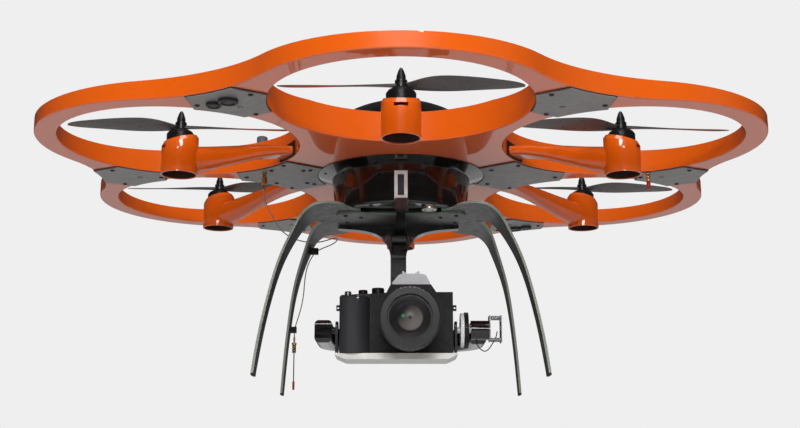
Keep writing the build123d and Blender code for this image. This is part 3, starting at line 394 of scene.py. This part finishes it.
MATERIALS = {
    "shell_orange": gloss_paint("shell_orange_paint", ORANGE),
    "cover_grey": satin_plate("cover_grey_laminate", (0.195, 0.185, 0.178)),
    "gasket_black": moulded("gasket_rubber", (0.008, 0.008, 0.008), 0.7),
    "screw_black": turned_metal("screw_black_oxide", (0.018, 0.017, 0.017), 0.38, 0.6),
    "light_lens": moulded("frosted_lens", (0.16, 0.155, 0.15), 0.25, 700, 0.3),
    "sensor_black": moulded("sensor_cup", (0.02, 0.02, 0.022), 0.45, 2600, 0.5),
    "hub_black": gloss_black("hub_lacquer"),
    "bezel_white": moulded("bezel_white_plastic", (0.72, 0.69, 0.66), 0.45),
    "socket_dark": moulded("socket_plastic", (0.012, 0.012, 0.02), 0.4),
    "sensor_silver": turned_metal("sensor_bezel", (0.6, 0.57, 0.52), 0.2),
    "motor_black": turned_metal("motor_anodised", (0.02, 0.02, 0.021), 0.3, 0.7),
    "motor_iron": turned_metal("stator_stack", (0.28, 0.2, 0.14), 0.45, 0.9, 2400),
    "board_green": moulded("board_case", (0.02, 0.06, 0.03), 0.45),
    "battery_blue": moulded("battery_wrap", (0.02, 0.035, 0.11), 0.35, 300, 0.2),
    "tray_black": moulded("tray_plastic", (0.015, 0.015, 0.015)),
    "leg_grey": leg_sheet("landing_laminate"),
    "foot_rubber": moulded("foot_rubber", (0.015, 0.015, 0.014), 0.75, 1800, 0.4),
    "platform_grey": platform_metal("platform_anodised"),
    "gear_black": moulded("gear_moulding", (0.014, 0.014, 0.015), 0.4),
    "disc_white": moulded("disc_moulding", (0.72, 0.72, 0.73), 0.32),
    "frame_metal": turned_metal("servo_frame_metal", (0.3, 0.3, 0.32), 0.3),
    "camera_black": leather_grip("camera_covering"),
    "hump_grey": moulded("hump_paint", (0.52, 0.53, 0.56), 0.36, 1200, 0.15),
    "lens_black": lacquered_ring("lens_anodised", (0.02, 0.02, 0.022)),
    "lens_glass": coated_glass("lens_coating", LENS_AXIS),
    "ring_rubber": ribbed("focus_ribs", (0.02, 0.02, 0.022), LENS_AXIS, "Y", 96),
    "dial_black": turned_metal("dial_knurled", (0.02, 0.02, 0.021), 0.35, 0.6, 2400),
    "button_silver": turned_metal("button_satin", (0.42, 0.42, 0.43), 0.28),
    "antenna_grey": moulded("antenna_housing", (0.08, 0.088, 0.1), 0.42),
    "brass": turned_metal("gold_plated_brass", (0.62, 0.42, 0.14), 0.22),
    "antenna_black": moulded("antenna_sleeve", (0.006, 0.006, 0.006), 0.45),
    "tip_red": moulded("red_cap", (0.33, 0.012, 0.012), 0.4),
    "cable_brown": cable_jacket("cable_jacket", (0.16, 0.125, 0.1)),
}


def dress_frame():
    """Every CAD node takes the material of its slot."""
    for entry in frame["record"]["subparts"]:
        node = frame["nodes"][entry["node"]]
        if not node.material_slots:
            node.data.materials.append(None)
        if entry["material_slot"] == "prop_dark":
            low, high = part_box(entry["node"])
            middle = (low + high) / 2
            finish = propeller_plastic(entry["node"] + "_plastic", (middle.x, middle.y))
        else:
            finish = MATERIALS[entry["material_slot"]]
        for slot in node.material_slots:
            slot.material = finish


dress_frame()

# ---------------------------------------------------------------- cords

# The coaxial cable: from the connector under the left inner cover, between the left legs and down
# the rear one.
CABLE_D = 1.8 * MM
CABLE_ROUTE = [
    (-215, -31, 303), (-215, -31, 293), (-211, -30, 280), (-203.5, -27, 267), (-196, -20, 251),
    (-184.5, -8, 239.5), (-170, 6, 233), (-153.5, 20, 231), (-137, 36, 233), (-122, 50, 239),
    (-110, 61, 246), (-104, 70, 246.5), (-107, 80, 243), (-117, 88, 239), (-129, 95, 236),
    (-141, 100, 231), (-150.5, 107, 220.5), (-157, 115, 207), (-160.5, 122.5, 193), (-162.5, 131, 180),
    (-164, 140, 166), (-167, 148, 151), (-171.5, 156, 135.5), (-177, 163, 121), (-181, 168, 108),
    (-181, 168, 96),
]
# The tilt motor's wire: a loop below the motor and up to the servo frame.
WIRE_D = 1.6 * MM
WIRE_ROUTE = [
    (113, -60, 65), (113.5, -60, 59.5), (116.5, -60, 54.5), (120.5, -60, 50), (125.5, -60, 47.6),
    (130.5, -60, 50), (134.5, -60, 55), (138, -60, 60.5), (141.5, -60, 66.5), (144, -60, 72.5),
    (144.6, -60, 78),
]


def round_cord(name, route, diameter, material):
    curve = bpy.data.curves.new(name, "CURVE")
    curve.dimensions = "3D"
    curve.bevel_depth = diameter / 2
    curve.bevel_resolution = 3
    curve.use_fill_caps = True
    spline = curve.splines.new("NURBS")
    spline.points.add(len(route) - 1)
    for point, place in zip(spline.points, route):
        point.co = (*mm(*place), 1)
    spline.order_u = 3
    spline.use_endpoint_u = True
    spline.resolution_u = 8
    curve.materials.append(material)
    cord = bpy.data.objects.new(name, curve)
    bpy.context.scene.collection.objects.link(cord)
    return cord


def add_cords():
    cable = round_cord("antenna_cable_cord", CABLE_ROUTE, CABLE_D, MATERIALS["cable_brown"])
    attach(cable, "airframe")
    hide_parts("antenna_cable")
    wire = round_cord("tilt_wire_cord", WIRE_ROUTE, WIRE_D, MATERIALS["antenna_black"])
    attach(wire, "gimbal")
    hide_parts("tilt_motor_wire")


add_cords()

# ---------------------------------------------------------------- detail pieces


def new_piece(name, shape, slot, body, material=None):
    """A piece from a bmesh in the CAD's frame, with its slot's material or another, riding on a body."""
    mesh = bpy.data.meshes.new(name)
    shape.to_mesh(mesh)
    shape.free()
    mesh.materials.append(material or MATERIALS[slot])
    piece = bpy.data.objects.new(name, mesh)
    bpy.context.scene.collection.objects.link(piece)
    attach(piece, body)
    return piece


def turned(profile, origin, axis="Z", steps=64):
    """A closed ring: (radius, along) points revolved about an axis through origin."""
    shape = bmesh.new()
    rings = []
    for step in range(steps):
        angle = 2 * math.pi * step / steps
        ring = []
        for radius, along in profile:
            a, b = radius * math.cos(angle), radius * math.sin(angle)
            local = Vector((a, b, along)) if axis == "Z" else Vector((a, along, b))
            ring.append(shape.verts.new(local + Vector(origin)))
        rings.append(ring)
    for ring, following in zip(rings, rings[1:] + rings[:1]):
        for i in range(len(profile)):
            j = (i + 1) % len(profile)
            shape.faces.new((ring[i], ring[j], following[j], following[i]))
    bmesh.ops.recalc_face_normals(shape, faces=shape.faces)
    return shape


def bevelled_box(low, high, radius, segments=3):
    """A box between two corners with rounded edges."""
    shape = bmesh.new()
    bmesh.ops.create_cube(shape, size=1.0)
    low, high = Vector(low), Vector(high)
    size = high - low
    bmesh.ops.scale(shape, vec=size, verts=shape.verts)
    bmesh.ops.translate(shape, vec=(low + high) / 2, verts=shape.verts)
    bmesh.ops.bevel(shape, geom=shape.edges[:], offset=radius, segments=segments, profile=0.5,
                    affect="EDGES")
    return shape


def join_shapes(shapes):
    """Several bmesh shapes as one."""
    whole = shapes[0]
    for shape in shapes[1:]:
        mesh = bpy.data.meshes.new("part")
        shape.to_mesh(mesh)
        shape.free()
        whole.from_mesh(mesh)
        bpy.data.meshes.remove(mesh)
    return whole


PODS = ("front", "front_right", "rear_right", "rear", "rear_left", "front_left")
SHADE_SLEEVE_TOP, SHADE_SLEEVE_MOUTH, SHADE_SLEEVE_SKIN = 318.6, 289.6, 0.9


def pod_shade_sleeves():
    """Painted shade: a dark sleeve, closed at its top, in the mouth of each motor pod, in place of the
    shade inside it.
    """
    # painted shade: a dark brownish matte colour stands in for the shade inside the pods
    painted_shade = moulded("pod_liner_foam", (0.03, 0.006, 0.002), 0.8, 1200, 0.5)
    under = SHADE_SLEEVE_TOP - SHADE_SLEEVE_SKIN
    profile = [mm(24.1, SHADE_SLEEVE_MOUTH), mm(24.1, SHADE_SLEEVE_TOP), mm(4, SHADE_SLEEVE_TOP), mm(4, under), mm(22.9, under),
               mm(23.2, SHADE_SLEEVE_MOUTH)]
    for name in PODS:
        low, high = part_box("motor_bell_" + name)
        middle = (low + high) / 2
        sleeve = turned(profile, (middle.x, middle.y, 0))
        new_piece("pod_liner_" + name, sleeve, "tray_black", "airframe", painted_shade)


# Radius and depth behind the lens's front, in mm.
THREAD_R, THREAD_DEPTHS = 32.5, (1.2, 2.2, 3.2)
NAME_RING = ((31.6, 3.95), (32.6, 3.95), (32.6, 4.6), (31.6, 4.6))
RETAINING_RING = ((20.9, 12.6), (22.1, 12.2), (22.1, 13.4), (20.9, 13.4))
MARK_R, MARK_STEP, SHORT_MARK, LONG_MARK = 42.6, 9, 1.1, 1.8
MARK_HALF_WIDTH, MARK_HALF_DEPTH = 0.22, 0.06


def lens_rings():
    """Filter thread, name ring, glass retaining ring and engraved index marks at the lens's front."""
    x, z = LENS_AXIS
    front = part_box("lens_barrel")[0].y
    mouth = (x, front, z)
    thread = [
        turned([mm(THREAD_R, d), mm(THREAD_R + 0.5, d + 0.25), mm(THREAD_R, d + 0.5)], mouth, "Y")
        for d in THREAD_DEPTHS
    ]
    new_piece("filter_thread", join_shapes(thread), "lens_black", "camera")
    for name, profile in (("name_ring_trim", NAME_RING), ("glass_retaining_ring", RETAINING_RING)):
        ring = turned([mm(*point) for point in profile], mouth, "Y", 96)
        new_piece(name, ring, "lens_black", "camera")
    marks = []
    for step in range(-3, 4):
        angle = math.radians(90 + MARK_STEP * step)
        across, up = MARK_R * MM * math.cos(angle), MARK_R * MM * math.sin(angle)
        centre = Vector((x + across, front + 0.01 * MM, z + up))
        half = (SHORT_MARK if step else LONG_MARK) / 2
        mark = bevelled_box(mm(-MARK_HALF_WIDTH, -MARK_HALF_DEPTH, -half),
                            mm(MARK_HALF_WIDTH, MARK_HALF_DEPTH, half), 0.05 * MM, 1)
        turn = Matrix.Rotation(math.radians(90) - angle, 4, "Y")
        bmesh.ops.transform(mark, matrix=Matrix.Translation(centre) @ turn, verts=mark.verts)
        marks.append(mark)
    new_piece("lens_index_marks", join_shapes(marks), "bezel_white", "camera")


CAMERA_BACK_Y = -14.0
WHEEL_CENTRE = (53, 84)
BUTTONS = ((53, 84, 4.4), (41, 106, 2.8), (56, 106, 2.8), (64, 62, 2.8), (44, 61, 2.8))


def behind(radius, depth):
    """A profile point at a depth behind the camera's back."""
    return mm(radius, CAMERA_BACK_Y + depth)


def camera_back():
    """Screen, control wheel and buttons on the back of the camera."""
    back = CAMERA_BACK_Y
    screen_frame = bevelled_box(mm(-62, back - 0.2, 56), mm(30, back + 3.2, 118), 1.2 * MM)
    new_piece("screen_frame", screen_frame, "camera_black", "camera", MATERIALS["tray_black"])
    screen = bevelled_box(mm(-57, back + 2.9, 61), mm(25, back + 3.6, 113), 0.25 * MM, 2)
    glass = gloss_black("screen_glass", (0.008, 0.01, 0.014))
    new_piece("screen_glass", screen, "lens_glass", "camera", glass)
    x, z = WHEEL_CENTRE
    rim = [behind(6, -0.3), behind(11.5, -0.3), behind(11.5, 1.4), behind(10.9, 2), behind(6.6, 2),
           behind(6, 1.4)]
    new_piece("control_wheel", turned(rim, mm(x, 0, z), "Y"), "dial_black", "camera")
    buttons = []
    for x, z, radius in BUTTONS:
        cap = [behind(0.3, -0.3), behind(radius, -0.3), behind(radius, 1), behind(radius - 0.5, 1.6),
               behind(0.3, 1.8)]
        buttons.append(turned(cap, mm(x, 0, z), "Y", 32))
    new_piece("back_buttons", join_shapes(buttons), "dial_black", "camera")


def battery_strap():
    """Webbing strap over the battery."""
    low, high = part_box("battery")
    first = (-11 * MM, low.y - 0.8 * MM, high.z - 0.2 * MM)
    last = (11 * MM, high.y + 0.8 * MM, high.z + 1.0 * MM)
    webbing = moulded("strap_webbing", (0.02, 0.02, 0.02), 0.75, 2200, 0.6)
    new_piece("battery_strap", bevelled_box(first, last, 0.4 * MM), "tray_black", "battery_pack", webbing)


pod_shade_sleeves()
lens_rings()
camera_back()
battery_strap()

# ---------------------------------------------------------------- studio

FLOOR_Z = -0.62
FLOOR_R = 6.0
FLOOR_GREY = (0.42, 0.42, 0.42)
FLOOR_GLOW = 0.22
BACKDROP_GREY = (0.863, 0.863, 0.863)
FILL_GREY = (0.30, 0.30, 0.305)
ROOM_DARK, ROOM_FLOOR = (0.03, 0.03, 0.031), (0.5, 0.5, 0.51)
AIM = (0, 0, 0.3)


def studio_world():
    """Pale grey behind the object, a dim room over a bright floor in its gloss, and an even fill."""
    world = bpy.data.worlds.new("studio")
    bpy.context.scene.world = world
    world.use_nodes = True
    tree = world.node_tree
    seen = tree.nodes["Background"]
    seen.inputs["Color"].default_value = (*BACKDROP_GREY, 1)
    room = tree.nodes.new("ShaderNodeBackground")
    direction = tree.nodes.new("ShaderNodeTexCoord").outputs["Generated"]
    below = spread(tree, part_of(tree, direction, "Z"), 1, 0, -0.12, 0.02)
    tree.links.new(blend_colour(tree, below, ROOM_DARK, ROOM_FLOOR), room.inputs["Color"])
    mix = tree.nodes.new("ShaderNodeMixShader")
    fill = tree.nodes.new("ShaderNodeBackground")
    fill.inputs["Color"].default_value = (*FILL_GREY, 1)
    path = tree.nodes.new("ShaderNodeLightPath")
    lit = tree.nodes.new("ShaderNodeMixShader")
    tree.links.new(path.outputs["Is Glossy Ray"], lit.inputs["Fac"])
    tree.links.new(fill.outputs["Background"], lit.inputs[1])
    tree.links.new(room.outputs["Background"], lit.inputs[2])
    tree.links.new(path.outputs["Is Camera Ray"], mix.inputs["Fac"])
    tree.links.new(lit.outputs["Shader"], mix.inputs[1])
    tree.links.new(seen.outputs["Background"], mix.inputs[2])
    tree.links.new(mix.outputs["Shader"], tree.nodes["World Output"].inputs["Surface"])


def softbox(name, place, target, size, power, mirrored=True):
    """An area light of size in metres and power in watts, hidden from the camera."""
    data = bpy.data.lights.new(name, "AREA")
    data.shape = "RECTANGLE"
    data.size, data.size_y = size
    data.energy = power
    light = bpy.data.objects.new(name, data)
    light.visible_glossy = mirrored
    light.visible_camera = False
    light.location = place
    light.rotation_euler = (Vector(target) - Vector(place)).to_track_quat("-Z", "Y").to_euler()
    bpy.context.scene.collection.objects.link(light)


def floor():
    mesh = bpy.data.meshes.new("studio_floor")
    disc = bmesh.new()
    bmesh.ops.create_circle(disc, cap_ends=True, segments=128, radius=FLOOR_R)
    disc.to_mesh(mesh)
    disc.free()
    material, tree, shader, place = new_surface("floor_paper", 0.8)
    set_colour(tree, shader, mottled(tree, place, FLOOR_GREY, 0.02, 3))
    shader.inputs["Emission Color"].default_value = (1.0, 1.0, 1.0, 1.0)
    shader.inputs["Emission Strength"].default_value = FLOOR_GLOW
    add_bump(tree, shader, noise(tree, place, 40, 3), 0.05, 0.002)
    mesh.materials.append(material)
    sheet = bpy.data.objects.new("studio_floor", mesh)
    sheet.location = (0, 0, FLOOR_Z)
    bpy.context.scene.collection.objects.link(sheet)


studio_world()
floor()
softbox("front_strip", (0.0, -3.0, 0.97), AIM, (1.3, 0.28), 14)
softbox("pod_strip", (0.0, -1.2, 0.645), (0, -0.38, 0.34), (0.4, 0.055), 1.0)
softbox("front_softbox", (0.0, -3.0, 1.65), AIM, (1.3, 1.4), 42, mirrored=False)
softbox("front_fill", (0.0, -3.2, 1.2), AIM, (2.6, 1.6), 10, mirrored=False)
softbox("left_fill", (-3.0, -1.6, 1.2), AIM, (1.6, 2.0), 10, mirrored=False)
softbox("right_fill", (3.0, -1.6, 1.2), AIM, (1.6, 2.0), 10, mirrored=False)
softbox("rear_fill", (0.0, 3.2, 1.3), AIM, (2.2, 1.4), 16, mirrored=False)
softbox("top_softbox", (0, -1.1, 2.6), AIM, (1.4, 1.0), 18)
bpy.context.scene.view_settings.view_transform = "Standard"
